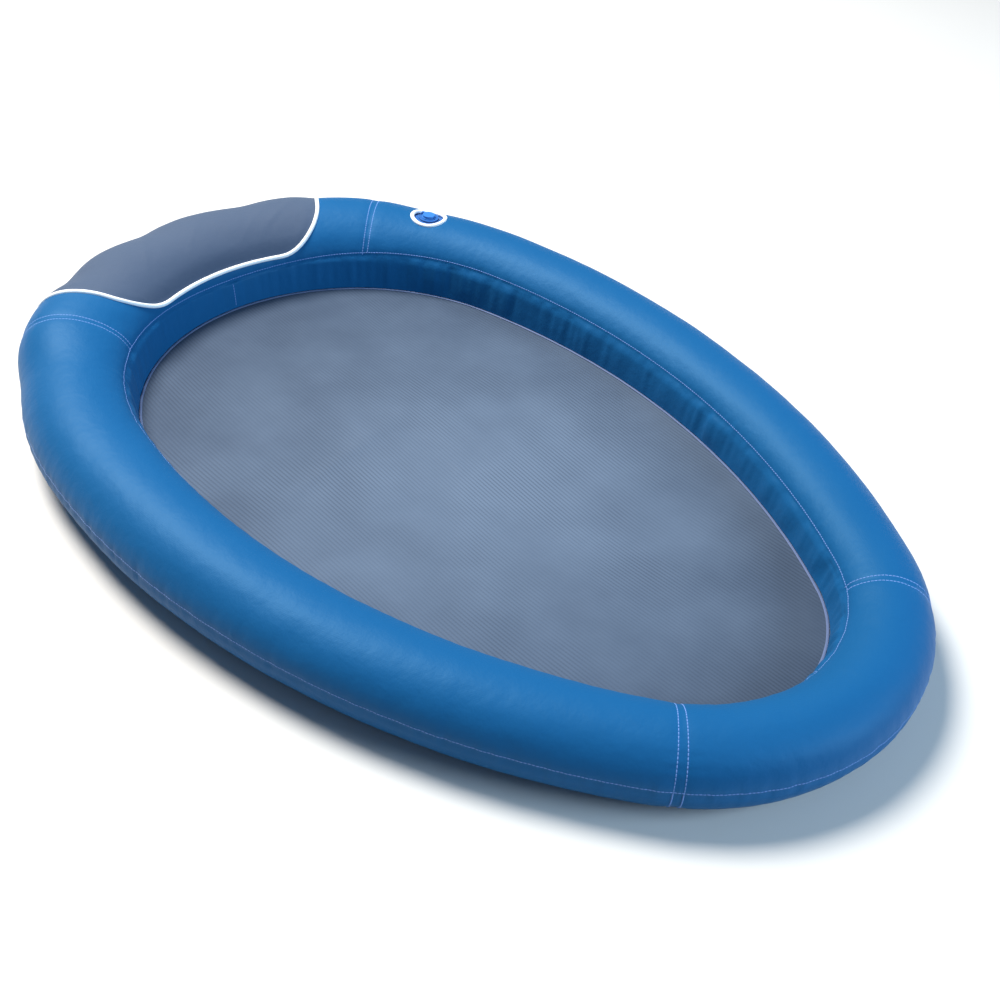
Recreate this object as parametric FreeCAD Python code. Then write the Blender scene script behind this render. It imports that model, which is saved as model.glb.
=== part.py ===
import FreeCAD, Part
import math
import os

from FreeCAD import Vector

# Inflatable pool float: an egg-shaped air tube in a sewn cover, round a net floor.
# Millimetres. +Z is up, +Y runs toward the wide head end, and the underside lies on Z = 0.

# Overall shape: the tube's centreline is four tangent arcs, and its section is an ellipse that
# grows toward the head.
LENGTH = 1650.0
HEAD_RADIUS = 480.0
FOOT_RADIUS = 325.0
SIDE_RADIUS = 1240.0
HALF_WIDTH = 79.0
HALF_WIDTH_GAIN = 13.0
HALF_HEIGHT = 69.5
HALF_HEIGHT_GAIN = 9.0
FLOOR_SINK = 2.0

# Sheet thicknesses and the clearance between neighbours
COVER = 1.0
FILM = 0.8
MESH = 1.0
GAP = 0.3
FILM_GAP = 0.5
FLANGE_GAP = 0.1

# Angles round the tube's section: 0 faces outward, 90 is the crown, 180 faces the well
OUTER_SEAM = 3.0
INNER_SEAM = 160.0
WALL_LEAVES = 171.0
BOTTOM_LEAVES = -122.0

# Distances of the cross seams from the middle of the head and of the foot, along the centreline
HEAD_SEAM = 352.0
FOOT_SEAM = 264.0

# The hem that joins the wall, the bottom panels and the net
HEM_REACH = 1.09
HEM_Z = 33.0
HEM_TUCK = 6.0
BINDING_WIDTH = 9.0
BINDING_THICK = 1.2
TAPE_GAP = 0.1

# Headrest panel: an outline in plan, with the piping in its seam
HEADREST_OUTER_S = 267.0
HEADREST_INNER_S = 240.0
HEADREST_INNER_ANGLE = 151.0
HEADREST_CORNER = 56.0
PIPING_WIDTH = 7.0
PIPING_RISE = 3.5

# Valve: its place on the tube, then radii and heights above the cover's surface there
VALVE_S = 469.0
VALVE_OUT = 8.0
SKIN_REACH = 90.0
SKIN_LOW = 25.0
SKIN_HIGH = 150.0
OPENING_R = 28.0
OPENING_PIPING_R = 36.0
FLANGE_R = 32.0
FLANGE = 1.2
BARREL_R = 20.0
BARREL_BORE_R = 16.2
BARREL_TOP = -2.0
BARREL_BOTTOM = -20.0
GASKET = 1.0
BODY_R = 15.9
BODY_HEAD_R = 19.6
BODY_HEAD = 1.4
BODY_WALL = 1.9
BODY_BOTTOM = -18.0
NECK_R = 9.5
NECK_TOP = 4.4
THROAT_R = 6.5
THROAT_BOTTOM = -3.5
FLAP_R = 9.5
FLAP = 1.5
STEM_R = 1.4
STEM_LENGTH = 8.4
BULB_R = 2.2
BULB = 1.5
HUB_R = 3.5
HUB_TOP = -9.0
HUB = 2.0
RIB_WIDTH = 2.0
RIBS = 3
RING_R = 14.0
RING = 1.2
CAP_R = 12.0
CAP = 1.6
SKIRT_R = 11.4
SKIRT = 2.4
SKIRT_GAP = 0.35
HINGE_REACH = 17.5
HINGE_UP = 3.8
HINGE_R = 1.3
ARM_WIDTH = 8.0
ARM_ROOT = 3.0
KNUCKLE = 3.0
RUNNING = 0.2

# The largest turn between a loft's sections, and the number of points on the hem's curve
STATION_TURN = 6.0
HEM_POINTS = 60
UP = Vector(0, 0, 1)


def arc_layout():
    """Centres and turn angles of the four tangent arcs, about the middle of the centreline."""
    span = LENGTH - 2 * HALF_WIDTH - HEAD_RADIUS - FOOT_RADIUS
    to_head = SIDE_RADIUS - HEAD_RADIUS
    to_foot = SIDE_RADIUS - FOOT_RADIUS
    side_from_foot = (to_foot**2 - to_head**2 + span**2) / (2 * span)
    side_x = math.sqrt(to_foot**2 - side_from_foot**2)
    half = (LENGTH - 2 * HALF_WIDTH) / 2
    foot_y = FOOT_RADIUS - half
    head_y = half - HEAD_RADIUS
    side_y = foot_y + side_from_foot
    head_turn = math.pi / 2 - math.atan2(head_y - side_y, side_x)
    foot_turn = math.pi / 2 - math.atan2(side_y - foot_y, side_x)
    return head_y, foot_y, side_x, side_y, head_turn, foot_turn


HEAD_Y, FOOT_Y, SIDE_X, SIDE_Y, HEAD_TURN, FOOT_TURN = arc_layout()
HEAD_ARC = HEAD_RADIUS * HEAD_TURN
SIDE_ARC = SIDE_RADIUS * (math.pi - HEAD_TURN - FOOT_TURN)
HALF_PATH = HEAD_ARC + SIDE_ARC + FOOT_RADIUS * FOOT_TURN
# the wider head would put the middle of the whole float ahead of the centreline's middle
MIDDLE_SHIFT = HALF_WIDTH_GAIN * (LENGTH / 2 - HALF_WIDTH) / (LENGTH / 2)


class Station:
    """The tube's section at distance s from the middle of the head, positive toward +X."""

    def __init__(self, s):
        side = 1 if s >= 0 else -1
        way = abs(s)
        if way < HEAD_ARC:
            turn = way / HEAD_RADIUS
            radius, centre = HEAD_RADIUS, Vector(0, HEAD_Y, 0)
        elif way < HEAD_ARC + SIDE_ARC:
            turn = HEAD_TURN + (way - HEAD_ARC) / SIDE_RADIUS
            radius, centre = SIDE_RADIUS, Vector(-side * SIDE_X, SIDE_Y, 0)
        else:
            turn = math.pi - FOOT_TURN + (way - HEAD_ARC - SIDE_ARC) / FOOT_RADIUS
            radius, centre = FOOT_RADIUS, Vector(0, FOOT_Y, 0)
        self.out = Vector(side * math.sin(turn), math.cos(turn), 0)
        self.place = centre + self.out * radius
        headward = self.place.y / (LENGTH / 2)
        self.place.y -= MIDDLE_SHIFT
        self.half_width = HALF_WIDTH + HALF_WIDTH_GAIN * headward
        self.half_height = HALF_HEIGHT + HALF_HEIGHT_GAIN * headward
        self.mid_z = self.half_height - FLOOR_SINK

    def at(self, out, z):
        return self.place + self.out * out + UP * z

    def on_tube(self, degrees, rise):
        """The point at an angle on the ellipse that stands rise outside the cover's surface."""
        angle = math.radians(degrees)
        out = (self.half_width + rise) * math.cos(angle)
        return self.at(out, self.mid_z + (self.half_height + rise) * math.sin(angle))

    def arc(self, start, end, rise):
        """The ellipse's edge between two angles, drawn from start to end."""
        middle = self.at(0, self.mid_z)
        wide = self.half_width + rise
        tall = self.half_height + rise
        ellipse = Part.Ellipse(middle + self.out * wide, middle + UP * tall, middle)
        low, high = sorted((math.radians(start), math.radians(end)))
        return Part.ArcOfEllipse(ellipse, low, high).toShape()

    def floor_angle(self, rise):
        """The angle, below zero, where the ellipse meets the flat underside."""
        return -math.degrees(math.asin((self.mid_z + rise) / (self.half_height + rise)))

    def line(self, start, end):
        return Part.LineSegment(start, end).toShape()


def stations(start, end):
    """Stations from start to end, close enough for a loft to follow the arcs."""
    steps = max(2, math.ceil(abs(end - start) / (HEAD_RADIUS * math.radians(STATION_TURN))))
    return [Station(start + (end - start) * i / steps) for i in range(steps + 1)]


def closed_wire(edges):
    return Part.Wire(Part.__sortEdges__(edges))


def loft(start, end, section):
    """A solid through the section's wires, from one distance along the centreline to another."""
    return Part.makeLoft([section(station) for station in stations(start, end)], True, False)


def band_section(low, high, inner_rise, outer_rise):
    """A section maker: a strip of the tube's skin between two angles and two rises."""

    def section(station):
        edges = [
            station.arc(low, high, outer_rise),
            station.line(station.on_tube(high, outer_rise), station.on_tube(high, inner_rise)),
            station.arc(low, high, inner_rise),
            station.line(station.on_tube(low, inner_rise), station.on_tube(low, outer_rise)),
        ]
        return closed_wire(edges)

    return section


def underside_edges(station, start, end, rise):
    """The lower half of a skin: arc, flat strip over the floor, and arc again."""
    first = station.floor_angle(rise)
    second = -180 - first
    return [
        station.arc(start, first, rise),
        station.line(station.on_tube(first, rise), station.on_tube(second, rise)),
        station.arc(second, end, rise),
    ]


def bottom_section(station):
    """A bottom panel: from the outer seam under the tube, then straight up to the hem.

    Its outer arc dips below the floor, and on_floor trims it there.
    """
    start = OUTER_SEAM - math.degrees(GAP / HALF_HEIGHT)
    hem_out = -HEM_REACH * station.half_width
    hem_low = station.at(hem_out, HEM_Z - MESH / 2 - 2 * COVER)
    hem_high = station.at(hem_out, HEM_Z - MESH / 2 - COVER / 2)
    edges = [station.arc(start, BOTTOM_LEAVES, 0)]
    edges.append(station.line(station.on_tube(BOTTOM_LEAVES, 0), hem_low))
    edges.append(station.line(hem_low, hem_high))
    edges.append(station.line(hem_high, station.on_tube(BOTTOM_LEAVES, -COVER)))
    edges += underside_edges(station, start, BOTTOM_LEAVES, -COVER)
    edges.append(station.line(station.on_tube(start, 0), station.on_tube(start, -COVER)))
    return closed_wire(edges)


def on_floor(shape):
    """The shape trimmed level with the floor, which leaves a flat strip to rest on."""
    corner = Vector(-LENGTH, -LENGTH, 0)
    return shape.common(Part.makeBox(2 * LENGTH, 2 * LENGTH, LENGTH, corner))


def wall_section(station):
    """The inner wall: from the inner seam down the tube's side, then straight to the hem."""
    start = INNER_SEAM + math.degrees(GAP / HALF_HEIGHT)
    foot_z = HEM_Z + MESH / 2 + COVER / 2
    foot_out = -HEM_REACH * station.half_width
    foot_well = station.at(foot_out, foot_z)
    foot_tube = station.at(foot_out + COVER, foot_z)
    edges = [
        station.arc(start, WALL_LEAVES, 0),
        station.line(station.on_tube(WALL_LEAVES, 0), foot_well),
        station.line(foot_well, foot_tube),
        station.line(foot_tube, station.on_tube(WALL_LEAVES, -COVER)),
        station.arc(start, WALL_LEAVES, -COVER),
        station.line(station.on_tube(start, -COVER), station.on_tube(start, 0)),
    ]
    return closed_wire(edges)


def lower_film_section(station):
    """The lower film of the air chamber, flat where it lies over the floor."""
    outer = -COVER - FILM_GAP
    inner = outer - FILM
    weld = math.degrees(GAP / HALF_HEIGHT) / 2
    edges = underside_edges(station, -weld, weld - 180, outer)
    edges += underside_edges(station, -weld, weld - 180, inner)
    for angle in (-weld, weld - 180):
        edges.append(station.line(station.on_tube(angle, outer), station.on_tube(angle, inner)))
    return closed_wire(edges)


def ring_loft(section):
    """A solid all the way round, from two half rings that meet at the head and the foot."""
    right = loft(0, HALF_PATH, section)
    left = loft(0, -HALF_PATH, section)
    return right.fuse(left)


PANEL_SPANS = {
    "head": (GAP / 2 - HEAD_SEAM, HEAD_SEAM - GAP / 2),
    "right": (HEAD_SEAM + GAP / 2, HALF_PATH - FOOT_SEAM - GAP / 2),
    "left": (-HEAD_SEAM - GAP / 2, FOOT_SEAM + GAP / 2 - HALF_PATH),
}


def foot_loft(section):
    """The foot panel passes the end of the centreline, so its two halves are joined there."""
    right = loft(HALF_PATH - FOOT_SEAM + GAP / 2, HALF_PATH, section)
    left = loft(FOOT_SEAM - GAP / 2 - HALF_PATH, -HALF_PATH, section)
    return right.fuse(left)


def headrest_prism(grow):
    """An upright block over the headrest's outline in plan, grown by a margin all round."""
    reach = LENGTH / 4
    inner = Station(0)
    inner_out = inner.half_width * math.cos(math.radians(HEADREST_INNER_ANGLE)) - grow
    corners = {}
    for side in (-1, 1):
        outer = Station(side * HEADREST_OUTER_S)
        corner = Station(side * HEADREST_INNER_S)
        start = corner.at(inner_out, 0)
        along = outer.at(outer.half_width, 0) - corner.at(inner_out + grow, 0)
        along.normalize()
        across = Vector(along.y, -along.x, 0) * side
        corners[side] = (start + across * grow, start + across * grow + along * reach)
    middle = inner.at(inner_out, 0)
    arc = Part.Arc(corners[-1][0], middle, corners[1][0]).toShape()
    right = Part.LineSegment(corners[1][0], corners[1][1]).toShape()
    back = Part.LineSegment(corners[1][1], corners[-1][1]).toShape()
    left = Part.LineSegment(corners[-1][1], corners[-1][0]).toShape()
    block = Part.Face(Part.Wire([arc, right, back, left])).extrude(UP * reach)
    near_corners = []
    for edge in block.Edges:
        ends = [vertex.Point for vertex in edge.Vertexes]
        upright = abs(ends[0].z - ends[-1].z) > reach / 2
        if upright and abs(ends[0].y - middle.y) < reach / 2:
            near_corners.append(edge)
    return block.makeFillet(HEADREST_CORNER + grow, near_corners)


def cylinder(radius, low, high, middle):
    return Part.makeCylinder(radius, high - low, middle + UP * low)


def tube(outer, inner, low, high, middle):
    return cylinder(outer, low, high, middle).cut(cylinder(inner, low, high, middle))


def valve_middle():
    """The valve's axis at the height of the cover's surface there."""
    station = Station(VALVE_S)
    lean = VALVE_OUT / station.half_width
    crown = station.mid_z + station.half_height * math.sqrt(1 - lean**2)
    return station.at(VALVE_OUT, crown)


def valve_skin(inner_rise, outer_rise):
    """The tube's skin round the valve only, between two rises."""
    section = band_section(SKIN_LOW, SKIN_HIGH, inner_rise, outer_rise)
    return loft(VALVE_S - SKIN_REACH, VALVE_S + SKIN_REACH, section)


def well_outline(inset, z):
    """The hem's closed outline, moved into the well by inset."""
    points = []
    for i in range(HEM_POINTS):
        station = Station((2 * i / HEM_POINTS - 1) * HALF_PATH)
        points.append(station.at(-HEM_REACH * station.half_width - inset, z))
    curve = Part.BSplineCurve()
    curve.interpolate(Points=points, PeriodicFlag=True)
    return Part.Wire(curve.toShape())


def cover_parts():
    top = band_section(OUTER_SEAM, INNER_SEAM, -COVER, 0)
    parts = {}
    for name, (start, end) in PANEL_SPANS.items():
        parts["cover_top_" + name] = loft(start, end, top)
        parts["cover_bottom_" + name] = on_floor(loft(start, end, bottom_section))
    parts["cover_top_foot"] = foot_loft(top)
    parts["cover_bottom_foot"] = on_floor(foot_loft(bottom_section))
    parts["inner_wall_right"] = loft(GAP / 2, HALF_PATH - GAP / 2, wall_section)
    parts["inner_wall_left"] = loft(-GAP / 2, GAP / 2 - HALF_PATH, wall_section)
    return parts


def headrest_parts(head_band):
    """The head panel cut out for the headrest, the headrest itself, and the piping between."""
    half = PIPING_WIDTH / 2
    rib = band_section(OUTER_SEAM, INNER_SEAM, -COVER, PIPING_RISE)
    rib_band = loft(*PANEL_SPANS["head"], rib)
    ring = headrest_prism(half).cut(headrest_prism(-half))
    return {
        "cover_top_head": head_band.cut(headrest_prism(half + GAP)),
        "headrest_panel": head_band.common(headrest_prism(-half - GAP)),
        "headrest_piping": rib_band.common(ring),
    }


def well_parts():
    mesh_z = HEM_Z - MESH / 2
    mesh_face = Part.Face(well_outline(-HEM_TUCK, mesh_z))
    tape_z = HEM_Z + MESH / 2 + TAPE_GAP
    tape_outer = Part.Face(well_outline(GAP, tape_z)).extrude(UP * BINDING_THICK)
    tape_inner = Part.Face(well_outline(GAP + BINDING_WIDTH, tape_z)).extrude(UP * BINDING_THICK)
    return {
        "mesh_floor": mesh_face.extrude(UP * MESH),
        "hem_binding": tape_outer.cut(tape_inner),
    }


def film_parts(middle):
    outer = -COVER - FILM_GAP
    weld = math.degrees(GAP / HALF_HEIGHT) / 2
    upper = ring_loft(band_section(weld, 180 - weld, outer - FILM, outer))
    hole = cylinder(BARREL_R + GAP, BARREL_BOTTOM, 2 * OPENING_R, middle)
    return {
        "bladder_upper_film": upper.cut(hole),
        "bladder_lower_film": ring_loft(lower_film_section),
    }


def valve_base(middle):
    """Flange under the upper film, with the barrel that the valve body screws into."""
    under_film = -COVER - FILM_GAP - FILM - FLANGE_GAP
    disc = tube(FLANGE_R, BARREL_R - GAP, BARREL_BOTTOM, OPENING_R, middle)
    flange = valve_skin(under_film - FLANGE, under_film).common(disc)
    barrel = tube(BARREL_R, BARREL_BORE_R, BARREL_BOTTOM, BARREL_TOP, middle)
    return barrel.fuse(flange)


def valve_body(middle):
    """Screw-in body: skirt, head, neck with the throat, and the spider that guides the flap."""
    head_low = BARREL_TOP + GASKET
    shape = tube(BODY_R, BODY_R - BODY_WALL, BODY_BOTTOM, head_low, middle)
    shape = shape.fuse(cylinder(BODY_R, THROAT_BOTTOM, head_low, middle))
    shape = shape.fuse(cylinder(BODY_HEAD_R, head_low, head_low + BODY_HEAD, middle))
    shape = shape.fuse(cylinder(NECK_R, head_low, NECK_TOP, middle))
    shape = shape.cut(cylinder(THROAT_R, THROAT_BOTTOM, NECK_TOP, middle))
    hub_low = HUB_TOP - HUB
    shape = shape.fuse(cylinder(HUB_R, hub_low, HUB_TOP, middle))
    reach = BODY_R - BODY_WALL / 2
    for i in range(RIBS):
        rib = Part.makeBox(reach, RIB_WIDTH, HUB, Vector(0, -RIB_WIDTH / 2, hub_low))
        rib.rotate(Vector(0, 0, 0), UP, i * 360 / RIBS)
        rib.translate(middle)
        shape = shape.fuse(rib)
    return shape.cut(cylinder(STEM_R + RUNNING, hub_low, HUB_TOP, middle))


def check_flap(middle):
    top = THROAT_BOTTOM
    disc = cylinder(FLAP_R, top - FLAP, top, middle)
    stem = cylinder(STEM_R, top - FLAP - STEM_LENGTH, top - FLAP, middle)
    bulb_top = top - FLAP - STEM_LENGTH + BULB
    bulb = cylinder(BULB_R, bulb_top - BULB, bulb_top, middle)
    return disc.fuse(stem).fuse(bulb)


def hinge_line(middle):
    """The point on the cap's hinge axis; the axis runs along +X through it."""
    return middle + Vector(0, HINGE_REACH, HINGE_UP)


def tether_ring(middle):
    """Ring round the neck, with two knuckles that carry the cap's own."""
    low = BARREL_TOP + GASKET + BODY_HEAD + GAP
    ring = tube(RING_R, NECK_R + GAP, low, low + RING, middle)
    line = hinge_line(middle)
    width = (ARM_WIDTH - KNUCKLE) / 2
    for side in (-1, 1):
        start = KNUCKLE / 2 + GAP if side > 0 else -KNUCKLE / 2 - GAP - width
        root = RING_R - ARM_ROOT
        arm = Part.makeBox(width, HINGE_REACH - root, RING, middle + Vector(start, root, low))
        knuckle = Part.makeCylinder(HINGE_R, width, line + Vector(start, 0, 0), Vector(1, 0, 0))
        corner = middle + Vector(start, HINGE_REACH - HINGE_R, low)
        post = Part.makeBox(width, 2 * HINGE_R, HINGE_UP - low, corner)
        ring = ring.fuse(arm).fuse(knuckle).fuse(post)
    return ring


def valve_cap(middle):
    """Lid with a skirt round the neck and an arm that ends in the middle knuckle."""
    low = NECK_TOP + RUNNING
    lid = cylinder(CAP_R, low, low + CAP, middle)
    skirt = tube(SKIRT_R, NECK_R + SKIRT_GAP, low - SKIRT, low, middle)
    line = hinge_line(middle)
    start = -KNUCKLE / 2
    root = CAP_R - ARM_ROOT
    arm = Part.makeBox(KNUCKLE, HINGE_REACH - root, CAP, middle + Vector(start, root, low))
    knuckle = Part.makeCylinder(HINGE_R, KNUCKLE, line + Vector(start, 0, 0), Vector(1, 0, 0))
    post = Part.makeBox(KNUCKLE, 2 * HINGE_R, low - HINGE_UP + CAP, line + Vector(start, -HINGE_R, 0))
    return lid.fuse(skirt).fuse(arm).fuse(knuckle).fuse(post)


def valve_parts(middle):
    piping = tube(OPENING_PIPING_R, OPENING_R, -OPENING_R, OPENING_R, middle)
    gasket_low = BARREL_TOP
    return {
        "valve_opening_piping": valve_skin(-COVER, PIPING_RISE).common(piping),
        "valve_base": valve_base(middle),
        "valve_gasket": tube(BODY_HEAD_R, BODY_R + RUNNING, gasket_low, gasket_low + GASKET, middle),
        "valve_body": valve_body(middle),
        "check_flap": check_flap(middle),
        "tether_ring": tether_ring(middle),
        "valve_cap": valve_cap(middle),
    }


def build():
    middle = valve_middle()
    parts = cover_parts()
    parts.update(headrest_parts(parts["cover_top_head"]))
    hole = cylinder(OPENING_PIPING_R + GAP, -OPENING_R, OPENING_R, middle)
    parts["cover_top_right"] = parts["cover_top_right"].cut(hole)
    parts.update(well_parts())
    parts.update(film_parts(middle))
    parts.update(valve_parts(middle))
    return parts


os.makedirs("parts", exist_ok=True)
for node, shape in build().items():
    solid = shape.removeSplitter()
    solid.exportStep("parts/" + node + ".step")
    box = solid.BoundBox
    print(node, len(solid.Solids), solid.isValid(), round(solid.Volume / 1000, 2), "cm3",
          [round(v, 1) for v in (box.XMin, box.XMax, box.YMin, box.YMax, box.ZMin, box.ZMax)])
print("valve axis", [round(v, 2) for v in valve_middle()])
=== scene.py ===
import math

import bmesh
import bpy
from mathutils import Matrix, Vector, noise


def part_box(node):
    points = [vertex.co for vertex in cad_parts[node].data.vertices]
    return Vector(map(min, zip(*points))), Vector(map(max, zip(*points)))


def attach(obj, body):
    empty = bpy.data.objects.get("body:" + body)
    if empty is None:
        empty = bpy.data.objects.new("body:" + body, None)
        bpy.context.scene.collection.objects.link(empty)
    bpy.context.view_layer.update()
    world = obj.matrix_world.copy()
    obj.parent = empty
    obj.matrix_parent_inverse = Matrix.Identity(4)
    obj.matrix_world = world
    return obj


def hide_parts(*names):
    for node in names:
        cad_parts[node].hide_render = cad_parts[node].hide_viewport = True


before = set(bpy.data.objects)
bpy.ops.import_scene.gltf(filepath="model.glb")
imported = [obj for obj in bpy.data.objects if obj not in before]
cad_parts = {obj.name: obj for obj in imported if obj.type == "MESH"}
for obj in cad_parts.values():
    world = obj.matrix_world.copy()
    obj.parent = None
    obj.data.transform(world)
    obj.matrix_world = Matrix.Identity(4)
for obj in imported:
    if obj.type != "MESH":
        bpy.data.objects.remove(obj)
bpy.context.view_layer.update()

MM = 0.001
UP = Vector((0, 0, 1))
SHELL = "float_shell"

# The outline, as in the CAD model: four tangent arcs, with an elliptical section that grows
# toward the head. Metres.
LENGTH = 1.650
HEAD_RADIUS = 0.480
FOOT_RADIUS = 0.325
SIDE_RADIUS = 1.240
HALF_WIDTH = 0.079
HALF_WIDTH_GAIN = 0.013
HALF_HEIGHT = 0.0695
HALF_HEIGHT_GAIN = 0.009
FLOOR_SINK = 0.002

# Angles round the section: 0 faces outward, 90 is the crown, 180 faces the well
OUTER_SEAM = 3.0
INNER_SEAM = 157.0
INNER_SEAM_AT_HEAD = 15.0
WALL_LEAVES = 171.0
BOTTOM_LEAVES = -122.0

# The cross seams: distance along the centreline at the crown, and lean per degree round the tube.
# The pumped-up cover has crept a little round the tube, so the pairs aren't quite symmetric.
LEFT_HEAD_SEAM = (-0.378, 0.00003)
RIGHT_HEAD_SEAM = (0.355, -0.0002)
RIGHT_FOOT_SEAM = (1.761, -0.0001)
LEFT_FOOT_SEAM = (-1.714, 0.0)
HEM_REACH = 1.09
HEM_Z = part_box("mesh_floor")[1][2]

# Headrest outline, left then right: where its sides would meet the outer seam and its inner edge,
# along the centreline; its inner edge round the tube; the radius of its corners in plan, and how
# much longer each corner is along the centreline
HEADREST_OUTER_S = (-0.316, 0.258)
HEADREST_INNER_S = (-0.272, 0.238)
HEADREST_INNER_ANGLE = 154.5
HEADREST_CORNER = (0.074, 0.096)
HEADREST_CORNER_STRETCH = (1.45, 1.0)
# Soft lumps of the loose headrest cloth: distance along the centreline, half width, relative height
LUMP_HEIGHT = 5.0 * MM
LUMPS = ((-0.17, 0.055, 1.0), (0.015, 0.055, 0.8), (0.20, 0.05, 0.7),
         (-0.245, 0.04, -0.8), (-0.075, 0.03, -0.7), (0.115, 0.03, -0.6))
# Its slanting creases: distance along the centreline, height
CREASES = ((0.150, 1.3 * MM), (0.105, 0.8 * MM), (-0.03, 0.7 * MM), (-0.15, 0.8 * MM))
CREASE_LEAN = 0.0018
CREASE_WIDTH = 0.006
CORNER_STEPS = 10
SIDE_STEPS = 24
FLAT_STEPS = 40

PIPING_R = 0.0040
PIPING_SIDES = 12
OPENING_R = 0.0335

# How the cover stands off the plain ellipse: fuller at the head, with a bump beside the headrest.
# The valve's stiff flange holds the cover down where it is welded in.
HEAD_SWELL = 20.0 * MM
CORNER_SWELL = 8.0 * MM
CORNER_SWELL_S = -0.33
VALVE_S = 0.468
VALVE_ANGLE = 83.0
SEAM_DIP = 1.3 * MM
CROSS_DIP = 1.4 * MM

# Cloth, thread and film
CLOTH = 0.7 * MM
NET_THICK = 0.6 * MM
NET_SAG = 9.0 * MM
# The net's long crease: height, half width, and its line y = NET_CREASE_Y + NET_CREASE_SLOPE * x,
# with the middle and the half length of the stretch of x where it shows
NET_CREASE = 2.2 * MM
NET_CREASE_WIDTH = 0.012
NET_CREASE_Y = 0.174
NET_CREASE_SLOPE = 0.208
NET_CREASE_X = -0.135
NET_CREASE_REACH = 0.22
BINDING_HALF_WIDTH = 2.3 * MM
BINDING_RISE = 1.1 * MM
FILM_THICK = 0.5 * MM
BLADDER_INSET = 7.5 * MM
STITCH_LONG = 5.0 * MM
STITCH_GAP = 0.3 * MM
THREAD_R = 1.0 * MM
TWIN_ROWS = 11.5 * MM
TOPSTITCH_IN = 4.5 * MM
THREAD_LIFT = 0.2 * MM
WALL_JOINT_ROW = 6 * MM
LOWER_ROW_STEP = 1.5
LOWER_ROW_POINTS = 45

# Mesh spacing along and across the panels, and the rough widths that set their numbers of rows
GRID = 0.0045
STRIP_WIDTH = 0.21
WALL_WIDTH = 0.10
HEAD_WIDTH = 0.24

# Flat width and length of the head's two cloths, estimated, before either is cut to its outline
HEAD_FLAT = (0.27, 0.80)
HEADREST_FLAT = (0.24, 0.62)


# ---------------------------------------------------------------- the tube's surface

def arc_layout():
    """Centres and turn angles of the outline's arcs, about the middle of the centreline."""
    span = LENGTH - 2 * HALF_WIDTH - HEAD_RADIUS - FOOT_RADIUS
    to_head = SIDE_RADIUS - HEAD_RADIUS
    to_foot = SIDE_RADIUS - FOOT_RADIUS
    side_from_foot = (to_foot**2 - to_head**2 + span**2) / (2 * span)
    side_x = math.sqrt(to_foot**2 - side_from_foot**2)
    half = (LENGTH - 2 * HALF_WIDTH) / 2
    foot_y = FOOT_RADIUS - half
    head_y = half - HEAD_RADIUS
    side_y = foot_y + side_from_foot
    head_turn = math.pi / 2 - math.atan2(head_y - side_y, side_x)
    foot_turn = math.pi / 2 - math.atan2(side_y - foot_y, side_x)
    return head_y, foot_y, side_x, side_y, head_turn, foot_turn


HEAD_Y, FOOT_Y, SIDE_X, SIDE_Y, HEAD_TURN, FOOT_TURN = arc_layout()
HEAD_ARC = HEAD_RADIUS * HEAD_TURN
SIDE_ARC = SIDE_RADIUS * (math.pi - HEAD_TURN - FOOT_TURN)
HALF_PATH = HEAD_ARC + SIDE_ARC + FOOT_RADIUS * FOOT_TURN
MIDDLE_SHIFT = HALF_WIDTH_GAIN * (LENGTH / 2 - HALF_WIDTH) / (LENGTH / 2)


class Station:
    """The tube's section at distance s from the middle of the head, positive toward +X."""

    def __init__(self, s):
        s = (s + HALF_PATH) % (2 * HALF_PATH) - HALF_PATH
        side = 1 if s >= 0 else -1
        way = abs(s)
        if way < HEAD_ARC:
            turn = way / HEAD_RADIUS
            radius, centre = HEAD_RADIUS, Vector((0, HEAD_Y, 0))
        elif way < HEAD_ARC + SIDE_ARC:
            turn = HEAD_TURN + (way - HEAD_ARC) / SIDE_RADIUS
            radius, centre = SIDE_RADIUS, Vector((-side * SIDE_X, SIDE_Y, 0))
        else:
            turn = math.pi - FOOT_TURN + (way - HEAD_ARC - SIDE_ARC) / FOOT_RADIUS
            radius, centre = FOOT_RADIUS, Vector((0, FOOT_Y, 0))
        self.s = s
        self.out = Vector((side * math.sin(turn), math.cos(turn), 0))
        self.place = centre + self.out * radius
        headward = self.place.y / (LENGTH / 2)
        self.place.y -= MIDDLE_SHIFT
        self.half_width = HALF_WIDTH + HALF_WIDTH_GAIN * headward
        self.half_height = HALF_HEIGHT + HALF_HEIGHT_GAIN * headward
        self.mid_z = self.half_height - FLOOR_SINK

    def at(self, out, z):
        return self.place + self.out * out + UP * z

    def on_tube(self, degrees):
        """A point of the ellipse and its outward normal."""
        angle = math.radians(degrees)
        cos, sin = math.cos(angle), math.sin(angle)
        normal = self.out * (cos / self.half_width) + UP * (sin / self.half_height)
        return self.at(self.half_width * cos, self.mid_z + self.half_height * sin), normal.normalized()

    def hem(self):
        return self.at(-HEM_REACH * self.half_width, HEM_Z)


def bump(x, middle, width):
    return math.exp(-(((x - middle) / width) ** 2))


def ripple(along, seed, pitch):
    """Uneven puckers along a seam, from -1 to 1."""
    x = along / pitch
    broad = noise.noise(Vector((x, seed, 0.3)))
    fine = noise.noise(Vector((2.3 * x, seed + 5.1, 1.7)))
    return 1.5 * broad + 0.8 * fine


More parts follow.
